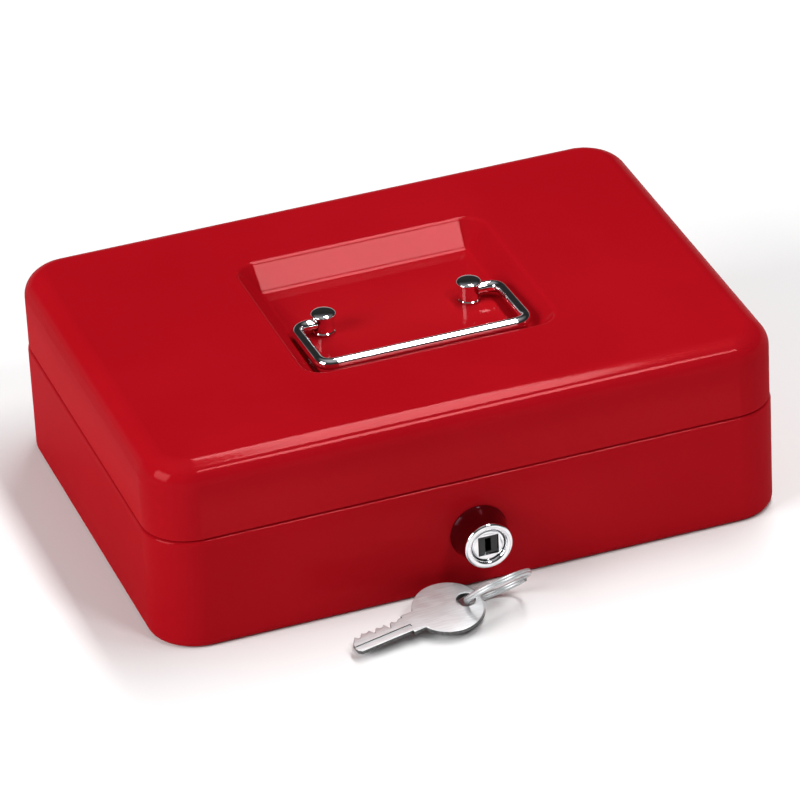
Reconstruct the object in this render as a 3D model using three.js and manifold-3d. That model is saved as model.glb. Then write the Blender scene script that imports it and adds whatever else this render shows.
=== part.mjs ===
// Steel cash box: hinged lid with a sunk carrying handle, cam lock, coin tray and a set of two keys.
// Millimetres. X runs along the box, +Y to the hinges, +Z up. The origin is the middle of the base.
import * as THREE from 'three';
import * as BufferGeometryUtils from 'three/addons/utils/BufferGeometryUtils.js';
import Module from 'manifold-3d';

const wasm = await Module();
wasm.setup();

// ---- driving dimensions ----
const LENGTH = 250;
const WIDTH = 178;
const HEIGHT = 77.5;
const SEAM = 46.5;
const CORNER = 19;
const SHEET = 1.2;
const FIT = 0.3; // gap between pieces that touch
const BOTTOM_RADIUS = 3;
const SHOULDER_RADIUS = 1.8;
const LID_INSET = 0.4;
const LID_EDGE_RADIUS = 9.5;
const LIP_INSET = 2.2;
const LIP_TOP = SEAM + 7;

const WELL = { x: 2.6, halfX: 51, halfY: 45, y: 2.5, depth: 9.5, slope: 8.8, corner: 9.5, edge: 1.3 };
const WELL_FLOOR = HEIGHT - WELL.depth;

const POST = { half: 29.5, y: 1.5, radius: 4, headRadius: 4.85, headRise: 2.9, headHeight: 2, tail: 2 };
const BAIL = { wire: 2.3, armX: 41.5, reach: 34, rise: 1.8, bend: 6, pivotZ: WELL_FLOOR + 4.2 };

const LOCK = { x: 0, z: 23.5, plug: 6.5, barrel: 8, bezelBase: 11.25, bezelFront: 9.5, proud: 11.8 };
const BODY_FRONT = -WIDTH / 2;
const BODY_REAR = WIDTH / 2;
const LID_REAR = BODY_REAR - LID_INSET;

const HINGE = { x: 72, width: 34, y: BODY_REAR + 2.2, z: SEAM + 0.2, radius: 2.2, pin: 1 };
const KNUCKLE = 10;

const TRAY = {
  halfX: 117, front: -62, rear: 82, bottom: 27.5, top: 57.5, corner: 10, wall: 2, rim: 2.2, rimThick: 1.8,
};

const KEY = { bow: 13.5, thick: 1.8, hole: 3.6, holeAt: 7.9, blade: 27, width: 8 };
const RING = { radius: 13, wire: 0.75, turns: 1.9 };

// ---- solids from three.js geometry ----
function solidOf(geometry) {
  const bare = geometry.clone();
  bare.deleteAttribute('normal');
  bare.deleteAttribute('uv');
  const merged = BufferGeometryUtils.mergeVertices(bare, 1e-4);
  const mesh = new wasm.Mesh({
    numProp: 3,
    vertProperties: new Float32Array(merged.attributes.position.array),
    triVerts: new Uint32Array(merged.index.array),
  });
  return new wasm.Manifold(mesh);
}

function geometryOf(solid) {
  const mesh = solid.getMesh();
  const geometry = new THREE.BufferGeometry();
  geometry.setAttribute('position', new THREE.BufferAttribute(new Float32Array(mesh.vertProperties), 3));
  geometry.setIndex(new THREE.BufferAttribute(new Uint32Array(mesh.triVerts), 1));
  geometry.computeVertexNormals();
  return geometry;
}

function cut(base, ...tools) {
  return geometryOf(tools.reduce((solid, tool) => solid.subtract(solidOf(tool)), solidOf(base)));
}

function join(base, ...others) {
  return geometryOf(others.reduce((solid, other) => solid.add(solidOf(other)), solidOf(base)));
}

function block(x0, x1, y0, y1, z0, z1) {
  const geometry = new THREE.BoxGeometry(x1 - x0, y1 - y0, z1 - z0);
  return geometry.translate((x0 + x1) / 2, (y0 + y1) / 2, (z0 + z1) / 2);
}

// A solid of revolution about the Y axis. Profile points are [radius, y].
function turned(profile, x, z, sides = 24) {
  const points = profile.map(([radius, y]) => new THREE.Vector2(radius, y));
  return new THREE.LatheGeometry(points, sides).translate(x, 0, z);
}

// A solid of revolution about a vertical axis. Profile points are [radius, z].
function turnedUpright(profile, x, y, sides = 24) {
  const points = profile.map(([radius, z]) => new THREE.Vector2(radius, z));
  return new THREE.LatheGeometry(points, sides).rotateX(Math.PI / 2).translate(x, y, 0);
}

// A round bar along X.
function barX(radius, x0, x1, y, z, sides = 20) {
  return new THREE.CylinderGeometry(radius, radius, x1 - x0, sides)
    .rotateZ(Math.PI / 2)
    .translate((x0 + x1) / 2, y, z);
}

// A round bar along Y.
function barY(radius, y0, y1, x, z, sides = 16) {
  return new THREE.CylinderGeometry(radius, radius, y1 - y0, sides).translate(x, (y0 + y1) / 2, z);
}

// One level of a rounded rectangle, as a closed ring of points.
function ringAt(halfX, halfY, corner, z, y = 0, steps = 8, x = 0) {
  const points = [];
  const radius = Math.max(corner, 0.3);
  for (let quarter = 0; quarter < 4; quarter += 1) {
    const signX = quarter === 0 || quarter === 3 ? 1 : -1;
    const signY = quarter < 2 ? 1 : -1;
    for (let step = 0; step <= steps; step += 1) {
      const angle = (quarter + step / steps) * (Math.PI / 2);
      const px = signX * (halfX - radius) + radius * Math.cos(angle);
      const py = signY * (halfY - radius) + radius * Math.sin(angle);
      points.push([px + x, py + y, z]);
    }
  }
  return points;
}

// A closed solid through a stack of rings that all have the same number of points.
function stacked(rings) {
  const count = rings[0].length;
  const positions = rings.flat(2);
  const triangles = [];
  for (let level = 0; level < rings.length - 1; level += 1) {
    for (let i = 0; i < count; i += 1) {
      const a = level * count + i;
      const b = level * count + ((i + 1) % count);
      triangles.push(a, b, b + count, a, b + count, a + count);
    }
  }
  const top = (rings.length - 1) * count;
  for (let i = 1; i < count - 1; i += 1) {
    triangles.push(0, i + 1, i);
    triangles.push(top, top + i, top + i + 1);
  }
  const geometry = new THREE.BufferGeometry();
  geometry.setAttribute('position', new THREE.Float32BufferAttribute(positions, 3));
  geometry.setIndex(triangles);
  return geometry;
}

// A stack that follows the box outline: each level is [inset, z].
function outlineStack(levels) {
  return stacked(levels.map(([inset, z]) => (
    ringAt(LENGTH / 2 - inset, WIDTH / 2 - inset, CORNER - inset, z)
  )));
}

// Levels along a quarter round that starts upright at `inset` and ends flat.
function quarterRound(inset, z, radius, steps) {
  const levels = [];
  for (let step = 0; step <= steps; step += 1) {
    const angle = (step / steps) * (Math.PI / 2);
    levels.push([inset + radius * (1 - Math.cos(angle)), z + radius * Math.sin(angle)]);
  }
  return levels;
}

// A flat shape drawn in X and Z, given thickness along Y from y0 to y1.
function plateXZ(shape, y0, y1) {
  const options = { depth: y1 - y0, bevelEnabled: false, curveSegments: 8 };
  const geometry = new THREE.ExtrudeGeometry(shape, options);
  return geometry.rotateX(Math.PI / 2).translate(0, y1, 0);
}

const group = new THREE.Group();

function add(name, geometry, color, roughness, metalness) {
  const material = new THREE.MeshStandardMaterial({ color, roughness, metalness });
  const mesh = new THREE.Mesh(geometry, material);
  mesh.name = name;
  group.add(mesh);
  return mesh;
}

const paint = [0xa8121c, 0.28, 0.0];
const chrome = [0xe2e4e6, 0.06, 1.0];
const zinc = [0xb4b8bb, 0.4, 0.9];
const steel = [0xd0d3d5, 0.25, 0.9];
const plastic = [0x202224, 0.5, 0.0];

// ---- body tub ----
// The wall turns in over a small shoulder and rises again as a lip inside the lid.
function bodyTub() {
  const outer = outlineStack([
    [BOTTOM_RADIUS, 0],
    [BOTTOM_RADIUS * 0.5, BOTTOM_RADIUS * 0.134],
    [BOTTOM_RADIUS * 0.134, BOTTOM_RADIUS * 0.5],
    [0, BOTTOM_RADIUS],
    ...quarterRound(0, SEAM - SHOULDER_RADIUS, SHOULDER_RADIUS, 3),
    [LIP_INSET, SEAM + 0.01],
    [LIP_INSET, LIP_TOP],
  ]);
  const inner = outlineStack([
    [SHEET + 2, SHEET],
    [SHEET + 0.6, SHEET + 0.6],
    [SHEET, SHEET + 2],
    [SHEET, SEAM - 2.4],
    [LIP_INSET + SHEET, SEAM - 1.2],
    [LIP_INSET + SHEET, LIP_TOP + 1],
  ]);
  const holes = hingeCentres().flatMap((x) => rivetCentres(x).map((rx) => (
    barY(BODY_RIVET.hole, BODY_REAR - 4, BODY_REAR + 1, rx, BODY_RIVET.z, 12)
  )));
  const lockHole = barY(LOCK.barrel + FIT, BODY_FRONT - 1, BODY_FRONT + 4, LOCK.x, LOCK.z, 32);
  return cut(outer, inner, lockHole, ...holes);
}

// ---- lid shell ----
function postX(side) {
  return WELL.x + side * POST.half;
}

function wellStack(grow, bottom, top) {
  const angle = Math.atan2(WELL.depth, WELL.slope);
  const back = WELL.edge * Math.cos(angle);
  const fall = WELL.edge * Math.sin(angle);
  const level = (out, z) => ringAt(
    WELL.halfX + out + grow,
    WELL.halfY + out + grow,
    WELL.corner + out + grow,
    z,
    WELL.y,
    8,
    WELL.x,
  );
  return stacked([
    level(-WELL.slope - WELL.edge, bottom),
    level(-WELL.slope + back * 0.2, bottom + fall * 0.3),
    level(-WELL.slope + back, bottom + fall),
    level(-back, HEIGHT - fall),
    level(0.1 * WELL.edge, HEIGHT - fall * 0.3),
    level(WELL.edge, HEIGHT),
    level(WELL.edge, top),
  ]);
}

function lidShell() {
  const bottom = SEAM + LID_INSET;
  const roundStart = HEIGHT - LID_EDGE_RADIUS;
  const outer = outlineStack([
    [LID_INSET, bottom],
    ...quarterRound(LID_INSET, roundStart, LID_EDGE_RADIUS, 7),
  ]);
  const hollow = outlineStack([
    [LID_INSET + SHEET, bottom - 1],
    ...quarterRound(LID_INSET + SHEET, roundStart, LID_EDGE_RADIUS - SHEET, 7),
  ]);
  const shell = solidOf(outer).subtract(solidOf(hollow));
  const pressed = shell.add(solidOf(wellStack(SHEET, WELL_FLOOR - SHEET, HEIGHT - 0.5)));
  const open = pressed.subtract(solidOf(wellStack(0, WELL_FLOOR, HEIGHT + 1)));
  const tailHole = POST.tail + FIT;
  const holeBottom = WELL_FLOOR - SHEET - 1;
  const holeTop = WELL_FLOOR + 1;
  const posts = [-1, 1].map((side) => solidOf(turnedUpright(
    [[0, holeBottom], [tailHole, holeBottom], [tailHole, holeTop], [0, holeTop]],
    postX(side),
    POST.y,
    16,
  )));
  const rivets = hingeCentres().flatMap((x) => rivetCentres(x).map((rx) => solidOf(
    barY(LID_RIVET.hole, LID_REAR - 3, LID_REAR + 1, rx, LID_RIVET.z, 12),
  )));
  return geometryOf([...posts, ...rivets].reduce((solid, tool) => solid.subtract(tool), open));
}

// ---- hinges ----
const BODY_LEAF_Y = BODY_REAR + FIT;
const LID_LEAF_Y = LID_REAR + FIT;
const BODY_RIVET = { z: 34.5, hole: 1.7, shank: 1.4 };
const LID_RIVET = { z: 57.8, hole: 1.7, shank: 1.4 };
const BODY_LEAF_BOTTOM = 29;
const LID_LEAF_TOP = 63;
const STOP = { reach: 5.6, rise: 1.3, thick: 1.4, halfWidth: 4.5 };

function hingeCentres() {
  return [-HINGE.x, HINGE.x];
}

function rivetCentres(x) {
  return [x - 11, x + 11];
}

function knuckle(x0, x1) {
  return barX(HINGE.radius, x0, x1, HINGE.y, HINGE.z, 20);
}

function pinHole(x) {
  return barX(HINGE.pin + FIT, x - HINGE.width, x + HINGE.width, HINGE.y, HINGE.z, 16);
}

// The body leaf carries the two outer knuckles and a bent tab that stops the open lid.
function bodyLeaf(x) {
  const half = HINGE.width / 2;
  const clear = HINGE.radius + FIT;
  const inY = BODY_LEAF_Y;
  const outY = BODY_LEAF_Y + SHEET;
  const rise = HINGE.z - clear - 1;
  const leaf = block(x - half, x + half, inY, outY, BODY_LEAF_BOTTOM, HINGE.z - clear);
  const left = block(x - half, x - half + KNUCKLE, inY, outY, rise, HINGE.z);
  const right = block(x + half - KNUCKLE, x + half, inY, outY, rise, HINGE.z);
  const shelf = block(
    x - STOP.halfWidth,
    x + STOP.halfWidth,
    BODY_LEAF_Y + 0.2,
    HINGE.y + STOP.reach,
    HINGE.z - clear - STOP.thick,
    HINGE.z - clear,
  );
  const tab = block(
    x - STOP.halfWidth,
    x + STOP.halfWidth,
    HINGE.y + STOP.reach - STOP.thick,
    HINGE.y + STOP.reach,
    HINGE.z - clear - STOP.thick,
    HINGE.z - clear + STOP.rise,
  );
  const knuckles = [knuckle(x - half, x - half + KNUCKLE), knuckle(x + half - KNUCKLE, x + half)];
  const body = join(leaf, left, right, shelf, tab, ...knuckles);
  const holes = rivetCentres(x).map((rx) => (
    barY(BODY_RIVET.hole, BODY_REAR, BODY_REAR + 4, rx, BODY_RIVET.z, 12)
  ));
  return cut(body, pinHole(x), ...holes);
}

function lidLeaf(x) {
  const half = HINGE.width / 2;
  const inner = half - KNUCKLE - FIT;
  const clear = HINGE.radius + FIT + 0.2;
  const leaf = block(x - half, x + half, LID_LEAF_Y, LID_LEAF_Y + SHEET, HINGE.z + clear, LID_LEAF_TOP);
  const neckTop = HINGE.z + clear + 1;
  const neck = block(x - inner, x + inner, LID_LEAF_Y, LID_LEAF_Y + SHEET, HINGE.z + 1, neckTop);
  const body = join(leaf, neck, knuckle(x - inner, x + inner));
  const holes = rivetCentres(x).map((rx) => (
    barY(LID_RIVET.hole, LID_REAR, LID_REAR + 4, rx, LID_RIVET.z, 12)
  ));
  return cut(body, pinHole(x), ...holes);
}

function hingePin(x) {
  const half = HINGE.width / 2 + FIT;
  return join(
    barX(HINGE.pin, x - half - 0.5, x + half + 0.5, HINGE.y, HINGE.z, 16),
    barX(HINGE.pin + 0.7, x - half - 1, x - half, HINGE.y, HINGE.z, 16),
    barX(HINGE.pin + 0.7, x + half, x + half + 1, HINGE.y, HINGE.z, 16),
  );
}

// A rivet from the leaf face `outside` through to the sheet's inner face `inside`.
function rivet(x, z, shank, inside, outside) {
  const profile = [
    [0, inside - FIT - 0.8],
    [shank + 0.8, inside - FIT - 0.8],
    [shank + 1, inside - FIT],
    [shank, inside - FIT],
    [shank, outside + FIT],
    [shank + 1.3, outside + FIT],
    [shank + 0.9, outside + FIT + 0.8],
    [0, outside + FIT + 1.2],
  ];
  return turned(profile, x, z, 12);
}

// ---- carrying handle ----
function handlePost(side) {
  const x = postX(side);
  const headBottom = BAIL.pivotZ + POST.headRise;
  const head = POST.headRadius;
  const profile = [
    [0, WELL_FLOOR - SHEET - 3],
    [POST.tail + 1, WELL_FLOOR - SHEET - 3],
    [POST.tail + 1.2, WELL_FLOOR - SHEET - 2],
    [POST.tail, WELL_FLOOR - SHEET - 1.8],
    [POST.tail, WELL_FLOOR + FIT],
    [POST.radius, WELL_FLOOR + FIT],
    [POST.radius, headBottom],
    [head, headBottom + POST.headHeight * 0.15],
    [head, headBottom + POST.headHeight * 0.5],
    [head * 0.82, headBottom + POST.headHeight * 0.8],
    [head * 0.45, headBottom + POST.headHeight * 0.96],
    [0, headBottom + POST.headHeight],
  ];
  const inner = x - side * 2.6;
  const outer = x + side * 8;
  const ends = [Math.min(inner, outer), Math.max(inner, outer)];
  const hole = barX(BAIL.wire + FIT, ...ends, POST.y, BAIL.pivotZ, 20);
  return cut(turnedUpright(profile, x, POST.y, 28), hole);
}

const WASHER = { thick: 1.1, radius: 5.5 };

function postWasher(side) {
  const top = WELL_FLOOR - SHEET - FIT;
  const { thick, radius } = WASHER;
  const hole = POST.tail + FIT;
  return turnedUpright(
    [[hole, top - thick], [radius, top - thick], [radius, top], [hole, top], [hole, top - thick]],
    postX(side),
    POST.y,
    20,
  );
}

// The bail is one bent wire: end in the left post, arm, grip, arm, end in the right post.
class BailCurve extends THREE.CurvePath {
  constructor() {
    super();
    const slope = Math.asin(BAIL.rise / BAIL.reach);
    const along = (x, reach) => new THREE.Vector3(
      WELL.x + x,
      POST.y - reach * Math.cos(slope),
      BAIL.pivotZ + reach * Math.sin(slope),
    );
    const end = POST.half - 2.2;
    const { armX, bend, reach } = BAIL;
    const corners = [[-armX, 0], [-armX, reach], [armX, reach], [armX, 0]];
    let from = along(-end, 0);
    corners.forEach(([x, out], index) => {
      const before = index === 0 ? [-end, 0] : corners[index - 1];
      const after = index === corners.length - 1 ? [end, 0] : corners[index + 1];
      const entry = along(x - Math.sign(x - before[0]) * bend, out - Math.sign(out - before[1]) * bend);
      const exit = along(x + Math.sign(after[0] - x) * bend, out + Math.sign(after[1] - out) * bend);
      this.add(new THREE.LineCurve3(from, entry));
      this.add(new THREE.QuadraticBezierCurve3(entry, along(x, out), exit));
      from = exit;
    });
    this.add(new THREE.LineCurve3(from, along(end, 0)));
  }
}

function handleBail() {
  const path = new BailCurve();
  const points = path.curves.flatMap((curve, index) => {
    const steps = index % 2 === 0 ? 1 : 5;
    const found = curve.getPoints(steps);
    return index === 0 ? found : found.slice(1);
  });
  return sweep(points, BAIL.wire, 12);
}

// A round wire through a list of points, closed at both ends.
function sweep(points, radius, sides) {
  const rings = points.map((point, index) => {
    const back = points[Math.max(index - 1, 0)];
    const ahead = points[Math.min(index + 1, points.length - 1)];
    const tangent = ahead.clone().sub(back).normalize();
    const up = Math.abs(tangent.z) > 0.9 ? new THREE.Vector3(0, 1, 0) : new THREE.Vector3(0, 0, 1);
    const side = tangent.clone().cross(up).normalize();
    const lift = side.clone().cross(tangent).normalize();
    const ring = [];
    for (let i = 0; i < sides; i += 1) {
      const angle = -(i / sides) * Math.PI * 2;
      const offset = side.clone().multiplyScalar(Math.cos(angle) * radius);
      offset.addScaledVector(lift, Math.sin(angle) * radius);
      ring.push(point.clone().add(offset).toArray());
    }
    return ring;
  });
  return stacked(rings);
}

// ---- lock ----
const WALL_IN = BODY_FRONT + SHEET;
const LOCK_BACK = BODY_FRONT + 8.8;
const CAM = { y0: LOCK_BACK + 0.5, thick: 1.6, length: 22, half: 4.5, finger: 3.4 };
const CATCH = { half: 11, y0: BODY_FRONT + 4.4, bottom: 33.5, top: 66 };

function lockBezel() {
  const base = BODY_FRONT - FIT;
  const front = BODY_FRONT - LOCK.proud;
  return turned([
    [LOCK.barrel + FIT, base],
    [LOCK.barrel + FIT, base - 4],
    [LOCK.plug + FIT, base - 4],
    [LOCK.plug + FIT, front + 0.3],
    [LOCK.plug + 0.8, front],
    [LOCK.bezelFront - 0.7, front],
    [LOCK.bezelFront, front + 0.7],
    [LOCK.bezelBase - 0.2, base - 1],
    [LOCK.bezelBase, base],
    [LOCK.barrel + FIT, base],
  ], LOCK.x, LOCK.z, 36);
}

function lockHousing() {
  const front = BODY_FRONT - 4;
  return turned([
    [LOCK.plug + FIT, front],
    [LOCK.plug + FIT, LOCK_BACK],
    [LOCK.barrel, LOCK_BACK],
    [LOCK.barrel, front],
    [LOCK.plug + FIT, front],
  ].reverse(), LOCK.x, LOCK.z, 32);
}

function lockNut() {
  const nut = barY(11.5, WALL_IN + FIT, WALL_IN + FIT + 2.2, LOCK.x, LOCK.z, 6);
  const hole = barY(LOCK.barrel + FIT, WALL_IN - 1, WALL_IN + 5, LOCK.x, LOCK.z, 32);
  return cut(nut, hole);
}

const SHUTTER = { halfX: 3.7, halfZ: 3.7, recess: 0.5, thick: 0.8 };

function shutterBlock(grow, y0, y1) {
  const { halfX, halfZ } = SHUTTER;
  return block(-halfX - grow, halfX + grow, y0, y1, LOCK.z - halfZ - grow, LOCK.z + halfZ + grow);
}

// The plug turns with the key; its rear end is a square that drives the cam.
function lockPlug() {
  const face = BODY_FRONT - LOCK.proud + 1;
  const barrel = turned([
    [0, face],
    [LOCK.plug - 0.6, face],
    [LOCK.plug, face + 0.5],
    [LOCK.plug, LOCK_BACK + FIT - 0.1],
    [0, LOCK_BACK + FIT - 0.1],
  ], LOCK.x, LOCK.z, 32);
  const square = block(-2.5, 2.5, LOCK_BACK - 1, CAM.y0 + CAM.thick - 0.2, LOCK.z - 2.5, LOCK.z + 2.5);
  const pocket = shutterBlock(FIT, face - 1, face + SHUTTER.recess + SHUTTER.thick + FIT);
  const keyway = block(-1.4, 1.4, face - 1, face + 16, LOCK.z - 3.4, LOCK.z + 3.4);
  const thread = barY(1.8, LOCK_BACK - 3, CAM.y0 + 4, LOCK.x, LOCK.z, 12);
  return cut(join(barrel, square), pocket, keyway, thread);
}

// A black plate with the key slot closes the pocket in the plug's face against dust.
function keywayShutter() {
  const front = BODY_FRONT - LOCK.proud + 1 + SHUTTER.recess;
  const plate = shutterBlock(0, front, front + SHUTTER.thick);
  const slot = block(-1.2, 1.2, front - 1, front + SHUTTER.thick + 1, LOCK.z - 2.9, LOCK.z + 2.9);
  return cut(plate, slot);
}

// Unlocked, the cam lies to the left; its tip is bent forward to reach into the catch.
function lockCam() {
  const { y0, thick, length, half, finger } = CAM;
  const shape = new THREE.Shape();
  shape.moveTo(-length, -finger / 2);
  shape.lineTo(-8, -half);
  shape.absarc(0, 0, 6.5, -2.4, 2.4);
  shape.lineTo(-8, half);
  shape.lineTo(-length, finger / 2);
  shape.closePath();
  const plate = plateXZ(shape, y0, y0 + thick).translate(0, 0, LOCK.z);
  const low = LOCK.z - finger / 2;
  const tip = block(-length, -length + thick, BODY_FRONT + 3.4, y0 + thick, low, low + finger);
  const hole = block(-2.8, 2.8, y0 - 1, y0 + thick + 1, LOCK.z - 2.8, LOCK.z + 2.8);
  return cut(join(plate, tip), hole);
}

function camScrew() {
  const seat = CAM.y0 + CAM.thick + FIT;
  const screw = turned([
    [0, LOCK_BACK - 2],
    [1.5, LOCK_BACK - 2],
    [1.5, seat],
    [4, seat],
    [4, seat + 1.4],
    [3.2, seat + 2],
    [0, seat + 2.1],
  ], LOCK.x, LOCK.z, 20);
  const slot = block(-0.5, 0.5, seat + 1.1, seat + 3, LOCK.z - 5, LOCK.z + 5);
  return cut(screw, slot);
}

// The catch hangs inside the lid. The cam's tip turns into its notch from the left.
function lidCatch() {
  const { half, y0, bottom, top } = CATCH;
  const skin = -LID_REAR + SHEET + FIT;
  const upper = block(-half, half, skin, skin + SHEET, LIP_TOP + 1.8, top);
  const shelf = block(-half, half, skin, y0 + SHEET, LIP_TOP + 1, LIP_TOP + 1 + SHEET);
  const tongue = block(-half, half, y0, y0 + SHEET, bottom, LIP_TOP + 1 + SHEET);
  const notch = new THREE.Shape();
  notch.moveTo(-half - 1, 34.8);
  notch.lineTo(-4, 38.2);
  notch.lineTo(4, 39.8);
  notch.lineTo(4, 47.4);
  notch.lineTo(-half - 1, 47.4);
  notch.closePath();
  return cut(join(upper, shelf, tongue), plateXZ(notch, y0 - 1, y0 + SHEET + 1));
}

// ---- inside the box ----
const LEDGE = { front: -52, rear: 72, shelf: 10.5, flange: 11 };

function trayLedge(side) {
  const wall = LENGTH / 2 - SHEET - FIT;
  const z = TRAY.bottom - FIT;
  const between = (near, far, low) => (
    block(Math.min(side * near, side * far), Math.max(side * near, side * far), LEDGE.front, LEDGE.rear, low, z)
  );
  return join(between(wall - SHEET, wall, z - LEDGE.flange), between(wall - LEDGE.shelf, wall, z - SHEET));
}

const CUP_FRONT = { count: 4, y0: TRAY.front + TRAY.wall, y1: 2 };
const CUP_REAR = { count: 2, y0: 4, y1: TRAY.rear - TRAY.wall };
const CUP_CORNER = 4;
// Each level of a cup is [distance in from its wall, height over its floor].
const CUP_LEVELS = [[2.4, 0], [0, 2.4], [0, TRAY.top - TRAY.bottom]];

function cups(row) {
  const pitch = (2 * TRAY.halfX - TRAY.wall) / row.count;
  const halfX = (pitch - TRAY.wall) / 2;
  const halfY = (row.y1 - row.y0) / 2;
  const middle = (row.y0 + row.y1) / 2;
  const found = [];
  for (let i = 0; i < row.count; i += 1) {
    const x = -TRAY.halfX + TRAY.wall / 2 + pitch * (i + 0.5);
    const rings = CUP_LEVELS.map(([inset, up]) => (
      ringAt(halfX - inset, halfY - inset, CUP_CORNER, TRAY.bottom + TRAY.wall + up, middle, 3)
    ));
    found.push(stacked(rings).translate(x, 0, 0));
  }
  return found;
}

function coinTray() {
  const halfY = (TRAY.rear - TRAY.front) / 2;
  const middle = (TRAY.rear + TRAY.front) / 2;
  const rimX = TRAY.halfX + TRAY.rim;
  const rimY = halfY + TRAY.rim;
  const outer = stacked([
    ringAt(TRAY.halfX - 1.5, halfY - 1.5, TRAY.corner, TRAY.bottom, middle, 5),
    ringAt(TRAY.halfX, halfY, TRAY.corner, TRAY.bottom + 2, middle, 5),
    ringAt(TRAY.halfX, halfY, TRAY.corner, TRAY.top - TRAY.rimThick - 0.2, middle, 5),
    ringAt(rimX, rimY, TRAY.corner + TRAY.rim, TRAY.top - TRAY.rimThick, middle, 5),
    ringAt(rimX, rimY, TRAY.corner + TRAY.rim, TRAY.top, middle, 5),
  ]);
  return cut(outer, ...cups(CUP_FRONT), ...cups(CUP_REAR));
}

// ---- keys ----
// A key is drawn along -X with the centre of its ring hole at the origin.
const KEY_TEETH = [1.2, 2.6, 1.0, 2.0, 0.8, 1.8];

function keySolid() {
  const shape = new THREE.Shape();
  const centre = -KEY.holeAt;
  const shoulder = centre - KEY.bow - 1;
  const tip = centre - KEY.bow - KEY.blade;
  const half = KEY.width / 2;
  const open = Math.asin((half + 1) / KEY.bow);
  shape.absarc(centre, 0, KEY.bow, Math.PI + open, Math.PI - open + Math.PI * 2);
  shape.lineTo(shoulder - 3, half + 1);
  shape.lineTo(shoulder - 3, half);
  const pitch = (shoulder - 5 - (tip + 2)) / KEY_TEETH.length;
  KEY_TEETH.forEach((depth, index) => {
    const x = shoulder - 5 - pitch * index;
    shape.lineTo(x, half);
    shape.lineTo(x - pitch * 0.35, half - depth);
    shape.lineTo(x - pitch * 0.65, half - depth);
  });
  shape.lineTo(tip + 2, half - 0.6);
  shape.lineTo(tip, 0.6);
  shape.lineTo(tip, -half + 1.2);
  shape.lineTo(tip + 1.2, -half);
  shape.lineTo(shoulder - 3, -half);
  shape.lineTo(shoulder - 3, -half - 1);
  shape.closePath();
  const hole = new THREE.Path();
  hole.absarc(0, 0, KEY.hole, 0, Math.PI * 2, true);
  shape.holes.push(hole);
  const geometry = new THREE.ExtrudeGeometry(shape, {
    depth: KEY.thick, bevelEnabled: false, curveSegments: 22,
  });
  return geometry.translate(0, 0, -KEY.thick / 2);
}

// The ring leans on the keys. Each key hangs on it by the hole, at an angle round the ring.
const RING_SET = { x: -0.3, y: -109, z: 10.6, lean: 42, rise: 12, turn: 0 };
const KEY_LIE = { roll: 10, pitch: 3 };
const KEY_SET = [
  { name: 'key_1', angle: 173, heading: 11 },
  { name: 'key_2', angle: 154, heading: 9 },
];

function placed(thing, angles, { x, y, z }) {
  const [aboutX, aboutY, aboutZ] = angles.map(THREE.MathUtils.degToRad);
  const matrix = new THREE.Matrix4().makeTranslation(x, y, z);
  matrix.multiply(new THREE.Matrix4().makeRotationZ(aboutZ));
  matrix.multiply(new THREE.Matrix4().makeRotationY(aboutY));
  matrix.multiply(new THREE.Matrix4().makeRotationX(aboutX));
  return thing.applyMatrix4(matrix);
}

const RING_ANGLES = [-RING_SET.lean, -RING_SET.rise, RING_SET.turn];

function ringPoint(degrees) {
  const angle = THREE.MathUtils.degToRad(degrees);
  const local = new THREE.Vector3(Math.cos(angle), Math.sin(angle), 0).multiplyScalar(RING.radius);
  return placed(local, RING_ANGLES, RING_SET);
}

// The split ring: a close-wound wire of almost two turns.
function splitRing() {
  const steps = 64;
  const points = [];
  for (let i = 0; i <= steps; i += 1) {
    const turn = (i / steps) * RING.turns;
    const angle = Math.PI * 0.15 + turn * Math.PI * 2;
    const lift = (turn / RING.turns - 0.5) * (RING.wire * 2 + FIT);
    points.push(new THREE.Vector3(Math.cos(angle) * RING.radius, Math.sin(angle) * RING.radius, lift));
  }
  return sweep(points, RING.wire, 8);
}

// ---- assembly ----
add('body_tub', bodyTub(), ...paint);
add('lid_shell', lidShell(), ...paint);

['left', 'right'].forEach((side, index) => {
  const x = hingeCentres()[index];
  const sign = index === 0 ? -1 : 1;
  add(`hinge_body_leaf_${side}`, bodyLeaf(x), ...zinc);
  add(`hinge_lid_leaf_${side}`, lidLeaf(x), ...zinc);
  add(`hinge_pin_${side}`, hingePin(x), ...steel);
  rivetCentres(x).forEach((rx, spot) => {
    const bodyRivet = rivet(rx, BODY_RIVET.z, BODY_RIVET.shank, BODY_REAR - SHEET, BODY_LEAF_Y + SHEET);
    const lidRivet = rivet(rx, LID_RIVET.z, LID_RIVET.shank, LID_REAR - SHEET, LID_LEAF_Y + SHEET);
    add(`body_rivet_${side}_${spot + 1}`, bodyRivet, ...steel);
    add(`lid_rivet_${side}_${spot + 1}`, lidRivet, ...steel);
  });
  add(`handle_post_${side}`, handlePost(sign), ...chrome);
  add(`post_washer_${side}`, postWasher(sign), ...zinc);
  add(`tray_ledge_${side}`, trayLedge(sign), ...paint);
});

add('handle_bail', handleBail(), ...chrome);
add('lock_bezel', lockBezel(), ...chrome);
add('lock_housing', lockHousing(), ...zinc);
add('lock_nut', lockNut(), ...zinc);
add('lock_plug', lockPlug(), ...chrome);
add('keyway_shutter', keywayShutter(), ...plastic);
add('lock_cam', lockCam(), ...zinc);
add('cam_screw', camScrew(), ...zinc);
add('lid_catch', lidCatch(), ...zinc);
add('coin_tray', coinTray(), ...plastic);

add('key_ring', placed(splitRing(), RING_ANGLES, RING_SET), ...steel);
KEY_SET.forEach(({ name, angle, heading }) => {
  const key = placed(keySolid(), [KEY_LIE.roll, -KEY_LIE.pitch, heading], ringPoint(angle));
  add(name, key, ...steel);
});

export default group;
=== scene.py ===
import math

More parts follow.
